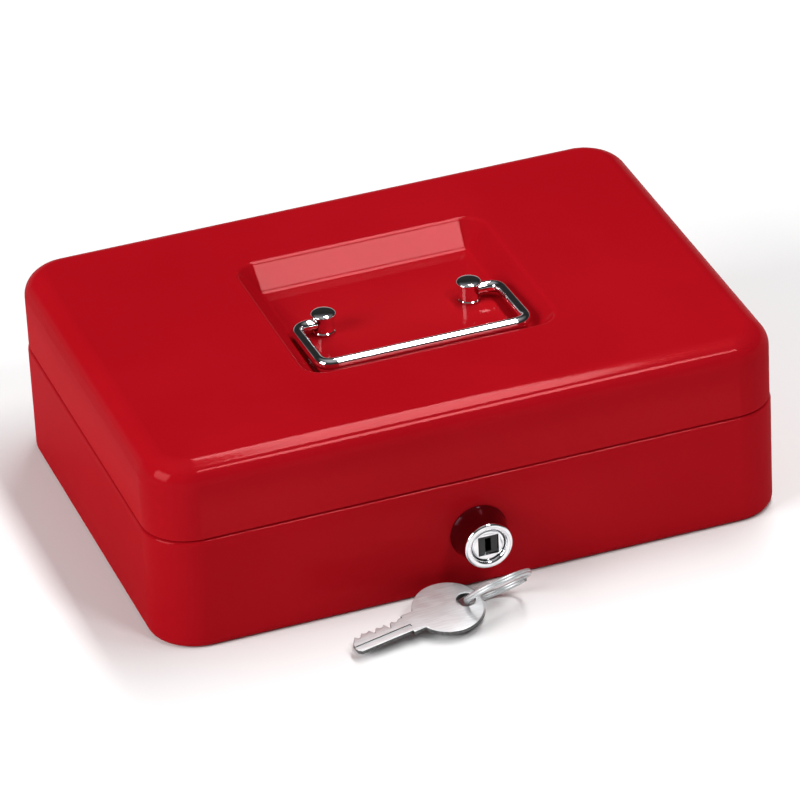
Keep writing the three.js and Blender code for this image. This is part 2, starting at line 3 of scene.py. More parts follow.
import bmesh
import bpy
from mathutils import Matrix, Vector


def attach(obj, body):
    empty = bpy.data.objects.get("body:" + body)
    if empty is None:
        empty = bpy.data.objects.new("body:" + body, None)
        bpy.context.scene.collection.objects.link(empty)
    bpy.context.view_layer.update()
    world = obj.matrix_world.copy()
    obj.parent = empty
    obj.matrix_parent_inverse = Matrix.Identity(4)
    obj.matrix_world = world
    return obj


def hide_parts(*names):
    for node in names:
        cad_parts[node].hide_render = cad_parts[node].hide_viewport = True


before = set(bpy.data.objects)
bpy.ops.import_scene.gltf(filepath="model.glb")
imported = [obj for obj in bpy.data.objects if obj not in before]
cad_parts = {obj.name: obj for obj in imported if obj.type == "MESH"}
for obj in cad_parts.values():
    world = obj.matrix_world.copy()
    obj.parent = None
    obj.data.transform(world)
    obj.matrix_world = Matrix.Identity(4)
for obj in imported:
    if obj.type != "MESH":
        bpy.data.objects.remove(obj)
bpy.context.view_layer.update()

MM = 0.001

# ---- driving dimensions, millimetres, the same frame as the CAD ----
LENGTH, WIDTH, HEIGHT, SEAM, CORNER, SHEET, FIT = 250.0, 178.0, 77.5, 46.5, 19.0, 1.2, 0.3
BOTTOM_RADIUS, SHOULDER_RADIUS, LID_INSET, LID_EDGE_RADIUS = 3.0, 1.8, 0.4, 9.5
LIP_INSET, LIP_TOP = 2.2, 53.5
WELL = dict(x=2.6, half_x=51.0, half_y=45.0, y=2.5, depth=9.5, slope=8.8, corner=9.5, edge=1.3)
WELL_FLOOR = HEIGHT - WELL["depth"]
POST = dict(half=29.5, y=1.5, radius=4.0, head=4.85, head_rise=2.9, tail=2.0)
BAIL = dict(wire=2.3, arm_x=41.5, reach=34.0, rise=1.8, bend=6.0, pivot_z=WELL_FLOOR + 4.2)
LOCK = dict(x=0.0, z=23.5, plug=6.5, barrel=8.0, base=11.25, front=9.5, proud=11.8, seat=4.0)
LOCK_AXIS = (LOCK["x"], LOCK["z"])
PLUG = dict(step=1.0, back=8.8, drive=2.5, drive_length=1.9, thread=1.8)
KEYWAY = dict(half_x=1.4, half_z=3.4, depth=16.0)
SHUTTER = dict(half=3.7, recess=0.5, thick=0.8, slot_x=1.2, slot_z=2.9)
FRONT, REAR = -WIDTH / 2, WIDTH / 2
PLUG_FACE = FRONT - LOCK["proud"] + PLUG["step"]
LID_REAR = REAR - LID_INSET
HINGE_X = 72.0
BODY_RIVET_Z, LID_RIVET_Z, RIVET_OUT = 34.5, 57.8, 11.0
RIVET = dict(hole=1.7, tail=2.4, shank=1.4, head=2.7, dome=1.2)
WASHER = dict(radius=5.5, thick=1.1)
TRAY = dict(half_x=117.0, front=-62.0, rear=82.0, bottom=27.5, top=57.5, corner=10.0, wall=2.0, rim=2.2)
KEY = dict(bow=13.5, thick=1.8, hole=3.6, hole_at=7.9, blade=27.0, width=8.0)
KEY_TEETH = [1.2, 2.6, 1.0, 2.0, 0.8, 1.8]
RING = dict(radius=13.0, wire=0.75, turns=1.9)
RING_SET = dict(at=(-0.3, -109.0, 10.6), lean=42.0, rise=12.0, turn=0.0)
KEY_LIE = dict(roll=10.0, pitch=3.0)
KEY_SET = [("key_1", 173.0, 11.0, "key_one"), ("key_2", 154.0, 9.0, "key_two")]


# ---- materials ----
class Nodes:
    """A short way to write a node tree around the Principled shader."""

    def __init__(self, name, colour, metallic, roughness, specular=0.5):
        self.mat = bpy.data.materials.new(name)
        self.mat.use_nodes = True
        self.tree = self.mat.node_tree
        self.shader = self.tree.nodes["Principled BSDF"]
        self.shader.inputs["Base Color"].default_value = (*colour, 1)
        self.shader.inputs["Metallic"].default_value = metallic
        self.shader.inputs["Roughness"].default_value = roughness
        self.shader.inputs["Specular IOR Level"].default_value = specular
        self.coord = self.tree.nodes.new("ShaderNodeTexCoord")
        self.bump_from = None

    def link(self, a, b):
        self.tree.links.new(a, b)

    def scaled(self, scale):
        node = self.tree.nodes.new("ShaderNodeMapping")
        node.inputs["Scale"].default_value = scale
        self.link(self.coord.outputs["Object"], node.inputs["Vector"])
        return node.outputs["Vector"]

    def noise(self, scale, detail=2.0, rough=0.5, stretch=None, distortion=0.0):
        node = self.tree.nodes.new("ShaderNodeTexNoise")
        node.inputs["Scale"].default_value = scale
        node.inputs["Detail"].default_value = detail
        node.inputs["Roughness"].default_value = rough
        node.inputs["Distortion"].default_value = distortion
        source = self.scaled(stretch) if stretch else self.coord.outputs["Object"]
        self.link(source, node.inputs["Vector"])
        return node.outputs["Fac"]

    def cells(self, scale):
        node = self.tree.nodes.new("ShaderNodeTexVoronoi")
        node.inputs["Scale"].default_value = scale
        self.link(self.coord.outputs["Object"], node.inputs["Vector"])
        return node

    def remap(self, value, low, high, to_low, to_high):
        node = self.tree.nodes.new("ShaderNodeMapRange")
        for key, number in zip(("From Min", "From Max", "To Min", "To Max"), (low, high, to_low, to_high)):
            node.inputs[key].default_value = number
        self.link(value, node.inputs["Value"])
        return node.outputs["Result"]

    def blend(self, factor, a, b, mode="MIX"):
        node = self.tree.nodes.new("ShaderNodeMix")
        node.data_type = "RGBA"
        node.blend_type = mode
        self.link(factor, node.inputs["Factor"])
        for index, value in ((6, a), (7, b)):
            if isinstance(value, tuple):
                node.inputs[index].default_value = (*value, 1)
            else:
                self.link(value, node.inputs[index])
        return node.outputs[2]

    def sum(self, a, b, kind="ADD"):
        node = self.tree.nodes.new("ShaderNodeMath")
        node.operation = kind
        for socket, value in zip(node.inputs, (a, b)):
            if isinstance(value, (int, float)):
                socket.default_value = value
            else:
                self.link(value, socket)
        return node.outputs[0]

    def colour(self, value):
        self.link(value, self.shader.inputs["Base Color"])

    def roughness(self, value):
        self.link(value, self.shader.inputs["Roughness"])

    def bump(self, height, distance):
        node = self.tree.nodes.new("ShaderNodeBump")
        node.inputs["Strength"].default_value = 1.0
        node.inputs["Distance"].default_value = distance
        self.link(height, node.inputs["Height"])
        if self.bump_from:
            self.link(self.bump_from, node.inputs["Normal"])
        self.bump_from = node.outputs["Normal"]
        self.link(self.bump_from, self.shader.inputs["Normal"])


def paint_material():
    """Stoved enamel: deep red, fine orange peel, a slow waviness of the sheet, a painted highlight (lighter
    red) on the convex edges and a fuller gloss on the faces that lie upward."""
    n = Nodes("red_enamel", (0.36, 0.004, 0.009), 0.030, 0.12, 0.0)
    upward = n.tree.nodes.new("ShaderNodeSeparateXYZ")
    n.link(n.coord.outputs["Normal"], upward.inputs["Vector"])
    n.link(n.remap(upward.outputs["Z"], 0.15, 0.6, 0.035, 0.115), n.shader.inputs["Coat Weight"])
    n.shader.inputs["Coat Roughness"].default_value = 0.07
    cloud = n.noise(11, 3, 0.55)
    tone = n.blend(n.remap(cloud, 0.3, 0.7, 0, 1), (0.340, 0.0034, 0.0075), (0.376, 0.0045, 0.0100))
    geometry = n.tree.nodes.new("ShaderNodeNewGeometry")
    # Painted highlight: convex edges (high pointiness) are blended toward a lighter red.
    edge = n.remap(geometry.outputs["Pointiness"], 0.515, 0.56, 0.0, 0.35)
    tone = n.blend(edge, tone, (0.44, 0.010, 0.014))
    speck = n.cells(420).outputs["Distance"]
    dust = n.remap(speck, 0.03, 0.07, 0.22, 0.0)
    tone = n.blend(dust, tone, (0.41, 0.03, 0.035))
    n.colour(tone)
    smudge = n.noise(34, 4, 0.6)
    n.roughness(n.remap(smudge, 0.3, 0.75, 0.09, 0.16))
    n.bump(n.noise(16, 1.5), 0.00010)
    n.bump(n.noise(620, 2, 0.45), 0.000010)
    n.link(n.bump_from, n.shader.inputs["Coat Normal"])
    return n.mat


def chrome_material():
    """Polished plate with a faint haze. Faces on the lock bezel's cone get a near-black base colour, a
    painted dark reflection.
    """
    n = Nodes("chrome_plate", (0.86, 0.87, 0.89), 1.0, 0.05)
    haze = n.noise(260, 3, 0.6)
    plate = n.blend(n.remap(haze, 0.35, 0.7, 0, 1), (0.90, 0.905, 0.92), (0.78, 0.79, 0.82))
    # Painted dark reflection: the marked bezel-cone faces get a near-black base colour.
    painted_dark_reflection = n.tree.nodes.new("ShaderNodeAttribute")
    painted_dark_reflection.attribute_name = "painted_dark_reflection"
    n.colour(n.blend(painted_dark_reflection.outputs["Fac"], plate, (0.20, 0.19, 0.23)))
    n.roughness(n.remap(n.noise(130, 4, 0.65), 0.3, 0.75, 0.03, 0.12))
    n.bump(n.noise(900, 2, 0.5, stretch=(0.35, 1, 1)), 0.000003)
    return n.mat


def zinc_material():
    """Bright zinc plate: spangled patches, a faint warm and cool cast, soft tooling lines."""
    n = Nodes("zinc_plate", (0.60, 0.61, 0.61), 1.0, 0.34)
    spangle = n.cells(330).outputs["Color"]
    split = n.tree.nodes.new("ShaderNodeSeparateColor")
    n.link(spangle, split.inputs["Color"])
    cast = n.blend(n.remap(n.noise(70, 3), 0.35, 0.65, 0, 1), (0.60, 0.61, 0.64), (0.66, 0.63, 0.56))
    n.colour(n.blend(n.sum(split.outputs["Red"], 0.25, "MULTIPLY"), cast, (0.46, 0.47, 0.48)))
    n.roughness(n.remap(n.sum(split.outputs["Green"], n.noise(180, 3)), 0.4, 1.5, 0.24, 0.44))
    n.bump(n.noise(1500, 2, 0.5, stretch=(0.12, 1, 1)), 0.000006)
    return n.mat


def steel_material():
    """Nickel plate: a satin face with a fine grain, and painted shade, near black, on the key's side faces.
    """
    n = Nodes("nickel_steel", (0.60, 0.62, 0.62), 0.62, 0.36)
    grain = n.noise(1900, 2, 0.5, stretch=(0.08, 1, 1))
    face = n.blend(n.remap(grain, 0.35, 0.65, 0, 1), (0.60, 0.63, 0.635), (0.51, 0.53, 0.54))
    # Painted shade: faces marked by the attribute below are blended to near black, with a little noise.
    edge = n.tree.nodes.new("ShaderNodeAttribute")
    edge.attribute_name = "painted_shade_edge"
    edge_shade_noise = n.remap(n.noise(700, 3), 0.35, 0.65, 0.82, 0.96)
    n.colour(n.blend(n.sum(edge.outputs["Fac"], edge_shade_noise, "MULTIPLY"), face, (0.035, 0.032, 0.030)))
    n.roughness(n.remap(n.noise(210, 4, 0.6), 0.3, 0.75, 0.32, 0.48))
    n.bump(grain, 0.000003)
    return n.mat


def plastic_material():
    """Black moulding with a fine grain."""
    n = Nodes("black_moulding", (0.020, 0.020, 0.022), 0.0, 0.46, 0.45)
    cloud = n.noise(28, 3)
    n.colour(n.blend(n.remap(cloud, 0.3, 0.7, 0, 1), (0.016, 0.016, 0.018), (0.027, 0.027, 0.029)))
    n.roughness(n.remap(n.noise(90, 3), 0.3, 0.7, 0.38, 0.55))
    n.bump(n.noise(2300, 2, 0.5), 0.000030)
    return n.mat


PAINT, CHROME, ZINC = paint_material(), chrome_material(), zinc_material()
STEEL, PLASTIC = steel_material(), plastic_material()


# ---- mesh tools ----
def mesh_of(name, verts, faces):
    mesh = bpy.data.meshes.new(name)
    mesh.from_pydata([Vector(v) * MM for v in verts], [], faces)
    bm = bmesh.new()
    bm.from_mesh(mesh)
    bmesh.ops.remove_doubles(bm, verts=bm.verts, dist=1e-7)
    bmesh.ops.recalc_face_normals(bm, faces=bm.faces)
    bm.to_mesh(mesh)
    bm.free()
    return mesh


def object_of(name, mesh):
    made = bpy.data.objects.new(name, mesh)
    bpy.context.scene.collection.objects.link(made)
    return made


def bake(made):
    """Turns an object's modifiers into its mesh."""
    bpy.context.view_layer.update()
    mesh = bpy.data.meshes.new_from_object(made.evaluated_get(bpy.context.evaluated_depsgraph_get()))
    made.modifiers.clear()
    made.data = mesh
    return made


def carve(made, cutters, kind="DIFFERENCE"):
    for index, cutter in enumerate(cutters):
        modifier = made.modifiers.new(f"cut_{index}", "BOOLEAN")
        modifier.operation = kind
        modifier.solver = "EXACT"
        modifier.object = cutter
    bake(made)
    for cutter in cutters:
        bpy.data.objects.remove(cutter)
    return made


def round_edges(made, width, segments=3, angle=35.0):
    modifier = made.modifiers.new("round", "BEVEL")
    modifier.width = width * MM
    modifier.segments = segments
    modifier.limit_method = "ANGLE"
    modifier.angle_limit = math.radians(angle)
    return bake(made)


def finish_piece(made, material, body, nodes=(), smooth=38.0):
    made.data.materials.clear()
    made.data.materials.append(material)
    for polygon in made.data.polygons:
        polygon.use_smooth = True
        polygon.material_index = 0
    made.data.set_sharp_from_angle(angle=math.radians(smooth))
    weighted = made.modifiers.new("weighted", "WEIGHTED_NORMAL")
    weighted.keep_sharp = True
    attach(made, body)
    if nodes:
        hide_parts(*nodes)
    return made


def rounded_ring(half_x, half_y, corner, z, centre_y=0.0, steps=20, centre_x=0.0):
    radius = max(corner, 0.3)
    points = []
    for quarter, (sign_x, sign_y) in enumerate(((1, 1), (-1, 1), (-1, -1), (1, -1))):
        for step in range(steps + 1):
            a = (quarter + step / steps) * math.pi / 2
            x = sign_x * (half_x - radius) + radius * math.cos(a)
            y = sign_y * (half_y - radius) + radius * math.sin(a)
            points.append((x + centre_x, y + centre_y, z))
    return points


def stack_mesh(name, rings):
    count = len(rings[0])
    verts = [p for ring in rings for p in ring]
    faces = []
    for level in range(len(rings) - 1):
        for i in range(count):
            a, b = level * count + i, level * count + (i + 1) % count
            faces.append((a, b, b + count, a + count))
    faces.append(tuple(reversed(range(count))))
    faces.append(tuple(range((len(rings) - 1) * count, len(rings) * count)))
    return mesh_of(name, verts, faces)


def outline_ring(inset, z, steps=20):
    return rounded_ring(LENGTH / 2 - inset, WIDTH / 2 - inset, CORNER - inset, z, steps=steps)


def fillet(start, corner, end, steps=6):
    """Points along a soft bend from start to end that is tangent at both."""
    found = []
    for step in range(steps + 1):
        t = step / steps
        weights = (1 - t) ** 2, 2 * t * (1 - t), t * t
        found.append(tuple(weights[0] * s + weights[1] * c + weights[2] * e
                           for s, c, e in zip(start, corner, end)))
    return found


def lathe(name, profile, centre, axis="y", sides=72):
    """A turned solid. Profile points are (radius, distance along the axis)."""
    closed = profile[0] == profile[-1]
    points = profile[:-1] if closed else profile
    rings, verts, faces = [], [], []
    for radius, along in points:
        ring = []
        for i in range(1 if radius < 1e-6 else sides):
            a = i / sides * math.tau
            u, v = radius * math.cos(a), radius * math.sin(a)
            ring.append(len(verts))
            across, aside = centre[0] + u, centre[1] + v
            verts.append((across, along, aside) if axis == "y" else (across, aside, along))
        rings.append(ring)
    pairs = list(zip(rings, rings[1:])) + ([(rings[-1], rings[0])] if closed else [])
    for low, high in pairs:
        for i in range(sides):
            j = (i + 1) % sides
            if len(low) == 1 and len(high) == 1:
                continue
            if len(low) == 1:
                faces.append((low[0], high[j], high[i]))
            elif len(high) == 1:
                faces.append((low[i], low[j], high[0]))
            else:
                faces.append((low[i], low[j], high[j], high[i]))
    return mesh_of(name, verts, faces)


def rod(name, radius, start, end, axis, centre, sides=40):
    """A plain round tool for holes. Centre is the other two coordinates in x, y, z order."""
    verts, faces = [], []
    for along in (start, end):
        for i in range(sides):
            a = i / sides * math.tau
            u, v = centre[0] + radius * math.cos(a), centre[1] + radius * math.sin(a)
            verts.append({"x": (along, u, v), "y": (u, along, v), "z": (u, v, along)}[axis])
    for i in range(sides):
        j = (i + 1) % sides
        faces.append((i, j, sides + j, sides + i))
    faces += [tuple(range(sides)), tuple(range(sides, 2 * sides))]
    return object_of(name, mesh_of(name, verts, faces))


def slab(name, x0, x1, y0, y1, z0, z1):
    verts = [(x, y, z) for x in (x0, x1) for y in (y0, y1) for z in (z0, z1)]
    faces = [(0, 1, 3, 2), (4, 6, 7, 5), (0, 4, 5, 1), (2, 3, 7, 6), (0, 2, 6, 4), (1, 5, 7, 3)]
    return object_of(name, mesh_of(name, verts, faces))


def sweep_mesh(name, points, radius, sides=28):
    vectors = [Vector(p) for p in points]
    rings = []
    for index, point in enumerate(vectors):
        back, ahead = vectors[max(index - 1, 0)], vectors[min(index + 1, len(vectors) - 1)]
        tangent = (ahead - back).normalized()
        up = Vector((0, 1, 0)) if abs(tangent.z) > 0.9 else Vector((0, 0, 1))
        side = tangent.cross(up).normalized()
        lift = side.cross(tangent).normalized()
        ring = []
        for i in range(sides):
            a = i / sides * math.tau
            ring.append(tuple(point + side * math.cos(a) * radius + lift * math.sin(a) * radius))
        rings.append(ring)
    return stack_mesh(name, rings)


def quarter(inset, z, radius, steps):
    spots = [i / steps * math.pi / 2 for i in range(steps + 1)]
    return [(inset + radius * (1 - math.cos(a)), z + radius * math.sin(a)) for a in spots]


def rivet_holes(z, radius, y0, y1):
    spots = [side * HINGE_X + out for side in (-1, 1) for out in (-RIVET_OUT, RIVET_OUT)]
    return [rod(f"hole_{i}_{z}", radius, y0, y1, "y", (x, z), 24) for i, x in enumerate(spots)]


# ---- body tub: folded steel with a rolled base, a shoulder and a lip that the lid closes over ----
def build_tub():
    base = [(BOTTOM_RADIUS * (1 - math.cos(a)), BOTTOM_RADIUS * (1 - math.sin(a)))
            for a in [math.pi / 2 * (1 - i / 8) for i in range(9)]]
    levels = base
    levels += quarter(0, SEAM - SHOULDER_RADIUS, SHOULDER_RADIUS, 7)
    levels += [(2.0, SEAM), (2.13, SEAM + 0.08), (LIP_INSET, SEAM + 0.3)]
    levels += fillet((LIP_INSET, LIP_TOP - 0.5), (LIP_INSET, LIP_TOP), (LIP_INSET + 0.5, LIP_TOP), 4)
    inner = LIP_INSET + SHEET
    levels += fillet((inner - 0.5, LIP_TOP), (inner, LIP_TOP), (inner, LIP_TOP - 0.5), 4)
    levels += fillet((inner, SEAM - 0.7), (inner, SEAM - 1.2), (inner - 0.9, SEAM - 1.7), 4)
    levels += fillet((SHEET + 0.6, SEAM - 2.1), (SHEET, SEAM - 2.4), (SHEET, SEAM - 3.1), 4)
    levels += fillet((SHEET, SHEET + 2.2), (SHEET, SHEET), (SHEET + 2.2, SHEET), 6)
    made = object_of("enamelled_body_tub", stack_mesh("tub", [outline_ring(i, z) for i, z in levels]))
    cutters = rivet_holes(BODY_RIVET_Z, RIVET["hole"], REAR - 4, REAR + 1)
    cutters.append(rod("lock_hole", LOCK["barrel"] + FIT, FRONT - 1, FRONT + 4, "y", LOCK_AXIS, 48))
    carve(made, cutters)
    return finish_piece(made, PAINT, "box", ["body_tub"], 34)


# ---- lid: deep drawn, with a generous top radius and the sunk handle well ----
def well_ring(out, z, steps=20):
    corner = WELL["corner"] + out
    return rounded_ring(WELL["half_x"] + out, WELL["half_y"] + out, corner, z, WELL["y"], steps, WELL["x"])


def post_x(side):
    return WELL["x"] + side * POST["half"]


def build_lid():
    slope, edge = WELL["slope"], WELL["edge"]
    angle = math.atan2(WELL["depth"], slope)
    back, fall = edge * math.cos(angle), edge * math.sin(angle)
    rings = []
    low_bend = fillet((-slope - edge, WELL_FLOOR), (-slope, WELL_FLOOR),
                      (-slope + back, WELL_FLOOR + fall), 7)
    high_bend = fillet((-back, HEIGHT - fall), (0, HEIGHT), (edge, HEIGHT), 7)
    for out, z in low_bend + high_bend:
        rings.append(well_ring(out, z))
    outer = list(reversed(quarter(LID_INSET, HEIGHT - LID_EDGE_RADIUS, LID_EDGE_RADIUS, 18)))
    bottom = SEAM + LID_INSET
    outer += fillet((LID_INSET, bottom + 0.35), (LID_INSET, bottom), (LID_INSET + 0.35, bottom), 3)
    inside = LID_INSET + SHEET
    outer += fillet((inside - 0.35, bottom), (inside, bottom), (inside, bottom + 0.35), 3)
    outer += quarter(inside, HEIGHT - LID_EDGE_RADIUS, LID_EDGE_RADIUS - SHEET, 12)
    rings += [outline_ring(inset, z) for inset, z in outer]
    ratio = WELL["depth"] / slope
    top_out, low_out = SHEET - SHEET / ratio, SHEET - slope - SHEET / ratio
    run = 1 / ratio
    under = fillet((top_out + 1.5, HEIGHT - SHEET), (top_out, HEIGHT - SHEET),
                   (top_out - run, HEIGHT - SHEET - 1), 4)
    under += fillet((low_out + run, WELL_FLOOR - SHEET + 1), (low_out, WELL_FLOOR - SHEET),
                    (low_out - 1.4, WELL_FLOOR - SHEET), 4)
    rings += [well_ring(out, z) for out, z in under]
    made = object_of("enamelled_lid", stack_mesh("lid", rings))
    cutters = rivet_holes(LID_RIVET_Z, RIVET["hole"], LID_REAR - 3, LID_REAR + 1)
    for side in (-1, 1):
        hole = POST["tail"] + FIT
        cutters.append(rod(f"post_hole_{side}", hole, WELL_FLOOR - 3, WELL_FLOOR + 1, "z",
                           (post_x(side), POST["y"]), 32))
    carve(made, cutters)
    return finish_piece(made, PAINT, "lid", ["lid_shell"], 34)


# ---- carrying handle ----
def build_bail():
    slope = math.asin(BAIL["rise"] / BAIL["reach"])

    def along(x, reach):
        y, z = POST["y"] - reach * math.cos(slope), BAIL["pivot_z"] + reach * math.sin(slope)
        return (WELL["x"] + x, y, z)

    end, arm, bend, reach = POST["half"] - 2.2, BAIL["arm_x"], BAIL["bend"], BAIL["reach"]
    stops = [(-end, 0), (-arm, 0), (-arm, reach), (arm, reach), (arm, 0), (end, 0)]
    points = [along(*stops[0])]
    for before, spot, after in zip(stops, stops[1:], stops[2:]):
        unit_in = Vector((spot[0] - before[0], spot[1] - before[1])).normalized()
        unit_out = Vector((after[0] - spot[0], after[1] - spot[1])).normalized()
        start = (spot[0] - unit_in.x * bend, spot[1] - unit_in.y * bend)
        finish = (spot[0] + unit_out.x * bend, spot[1] + unit_out.y * bend)
        points += [along(*p) for p in fillet(start, spot, finish, 14)]
    points.append(along(*stops[-1]))
    made = object_of("handle_bail_wire", sweep_mesh("bail", points, BAIL["wire"], 40))
    return finish_piece(made, CHROME, "handle", ["handle_bail"], 50)


def build_post(side):
    name = "left" if side < 0 else "right"
    under = WELL_FLOOR - SHEET
    head_low = BAIL["pivot_z"] + POST["head_rise"]
    head, radius, tail = POST["head"], POST["radius"], POST["tail"]
    profile = [(0, under - 3), (tail + 0.8, under - 3), (tail + 1.1, under - 2.7),
               (tail + 1.15, under - 2.2), (tail + 0.9, under - 1.9), (tail, under - 1.8),
               (tail, WELL_FLOOR + FIT),
               (radius + 0.35, WELL_FLOOR + FIT), (radius + 0.35, WELL_FLOOR + FIT + 0.5),
               (radius, WELL_FLOOR + FIT + 0.9), (radius, head_low - 0.1), (radius + 0.15, head_low)]
    profile += fillet((head - 0.35, head_low), (head, head_low), (head, head_low + 0.35), 4)
    profile += fillet((head, head_low + 0.9), (head, head_low + 1.4), (head * 0.8, head_low + 1.65), 6)
    profile += fillet((head * 0.72, head_low + 1.74), (head * 0.4, head_low + 2.0), (0, head_low + 2.0), 6)
    centre = (post_x(side), POST["y"])
    made = object_of(f"handle_post_turned_{name}", lathe("post", profile, centre, "z", 72))
    x = centre[0]
    near, far = sorted((x - side * 2.6, x + side * 8))
    carve(made, [rod("wire_hole", BAIL["wire"] + FIT, near, far, "x", (POST["y"], BAIL["pivot_z"]), 40)])
    return finish_piece(made, CHROME, "lid", [f"handle_post_{name}"], 40)


def build_washer(side):
    name = "left" if side < 0 else "right"
    top = WELL_FLOOR - SHEET - FIT
    hole, radius, low = POST["tail"] + FIT, WASHER["radius"], top - WASHER["thick"]
    profile = [(hole, low), (radius - 0.3, low), (radius, low + 0.3), (radius, top - 0.2),
               (radius - 0.2, top), (hole, top), (hole, low)]
    centre = (post_x(side), POST["y"])
    made = object_of(f"post_washer_pressed_{name}", lathe("washer", profile, centre, "z", 56))
    return finish_piece(made, ZINC, "lid", [f"post_washer_{name}"])


# ---- cam lock ----
def build_bezel():
    base, front = FRONT - FIT, FRONT - LOCK["proud"]
    plug, barrel, rim, foot = LOCK["plug"], LOCK["barrel"], LOCK["front"], LOCK["base"]
    seat = base - LOCK["seat"]
    profile = [(barrel + FIT, base), (barrel + FIT, seat), (plug + FIT, seat), (plug + FIT, front + 1.3)]
    crown = (plug + rim) / 2 + 0.3
    profile += fillet((plug + FIT, front + 1.1), (plug + 0.5, front), (crown, front), 8)
    profile += fillet((crown + 0.05, front), (rim - 0.05, front), (rim, front + 1.1), 8)
    profile += fillet((rim + 0.08, front + 1.3), (rim + 0.7, base - 3.4), (foot - 0.25, base - 1.1), 8)
    profile += fillet((foot - 0.15, base - 0.8), (foot, base - 0.6), (foot, base - 0.3), 3)
    profile += [(foot, base), (barrel + FIT, base)]
    made = object_of("lock_bezel_turned", lathe("bezel", profile, LOCK_AXIS, "y", 96))
    # Painted dark reflection: marks the cone faces between the front rim and the base, so the chrome there
    # is near black.
    shade = made.data.attributes.new("painted_dark_reflection", "FLOAT", "FACE")
    for polygon in made.data.polygons:
        spot = polygon.center
        reach = math.hypot(spot.x / MM - LOCK["x"], spot.z / MM - LOCK["z"])
        shade.data[polygon.index].value = 1.0 if reach > rim - 0.2 and spot.y / MM > front + 0.9 else 0.0
    return finish_piece(made, CHROME, "box", ["lock_bezel"], 40)


def build_plug():
    face, back, plug, drive = PLUG_FACE, FRONT + PLUG["back"], LOCK["plug"], PLUG["drive"]
    profile = [(0, face), (plug - 1.0, face), (plug - 0.35, face + 0.15), (plug - 0.05, face + 0.5),
               (plug, face + 1), (plug, back + 0.2), (0, back + 0.2)]
    made = object_of("lock_plug_turned", lathe("plug", profile, LOCK_AXIS, "y", 72))
    end = back + PLUG["drive_length"]
    carve(made, [slab("drive", -drive, drive, back - 1, end, LOCK["z"] - drive, LOCK["z"] + drive)], "UNION")
    half, deep = SHUTTER["half"] + FIT, face + SHUTTER["recess"] + SHUTTER["thick"] + FIT
    pocket = slab("pocket", -half, half, face - 1, deep, LOCK["z"] - half, LOCK["z"] + half)
    keyway = slab("keyway", -KEYWAY["half_x"], KEYWAY["half_x"], face - 1, face + KEYWAY["depth"],
                  LOCK["z"] - KEYWAY["half_z"], LOCK["z"] + KEYWAY["half_z"])
    thread = rod("thread", PLUG["thread"], back - 3, back + 6, "y", LOCK_AXIS, 24)
    carve(made, [pocket, keyway, thread])
    round_edges(made, 0.18, 2, 50)
    return finish_piece(made, CHROME, "lock_core", ["lock_plug"], 40)


def build_shutter():
    """The black dust plate in the face of the plug, with its key slot."""
    half, front, z = SHUTTER["half"], PLUG_FACE + SHUTTER["recess"], LOCK["z"]
    made = slab("keyway_shutter_plate", -half, half, front, front + SHUTTER["thick"], z - half, z + half)
    slot_x, slot_z = SHUTTER["slot_x"], SHUTTER["slot_z"]
    carve(made, [slab("slot", -slot_x, slot_x, front - 1, front + 2, z - slot_z, z + slot_z)])
    round_edges(made, 0.16, 3, 50)
    return finish_piece(made, PLASTIC, "lock_core", ["keyway_shutter"], 40)


# ---- coin tray ----
def build_tray():
    half_x, wall, bottom, top = TRAY["half_x"], TRAY["wall"], TRAY["bottom"], TRAY["top"]
    half_y, middle = (TRAY["rear"] - TRAY["front"]) / 2, (TRAY["rear"] + TRAY["front"]) / 2
    corner, rim = TRAY["corner"], TRAY["rim"]
    levels = fillet((1.5, bottom), (0.2, bottom), (0, bottom + 2), 4)
    levels += fillet((0, top - 2.6), (0, top - 1.9), (-0.6, top - 1.8), 3)
    levels += fillet((0.4 - rim, top - 1.8), (-rim, top - 1.8), (-rim, top - 1.4), 3)
    levels += fillet((-rim, top - 0.6), (-rim, top), (0.6 - rim, top), 4)
    rings = []
    for inset, z in levels:
        rings.append(rounded_ring(half_x - inset, half_y - inset, corner - min(inset, 0), z, middle, 12))
    made = object_of("coin_tray_moulded", stack_mesh("tray", rings))
    cutters = []
    for count, y0, y1 in ((4, TRAY["front"] + wall, 2.0), (2, 4.0, TRAY["rear"] - wall)):
        pitch = (2 * half_x - wall) / count
        cup_x, cup_y = (pitch - wall) / 2, (y1 - y0) / 2
        for i in range(count):
            x = -half_x + wall / 2 + pitch * (i + 0.5)
            scoop = fillet((4.0, 0.0), (0.4, 0.0), (0.0, 4.0), 10)
            scoop += [(0.0, top - bottom)]
            cup = [rounded_ring(cup_x - inset, cup_y - inset, 4.5, bottom + wall + up, (y0 + y1) / 2, 10, x)
                   for inset, up in scoop]
            cutters.append(object_of(f"cup_{count}_{i}", stack_mesh("cup", cup)))
    carve(made, cutters)
    round_edges(made, 0.45, 3, 50)
    return finish_piece(made, PLASTIC, "tray", ["coin_tray"], 36)


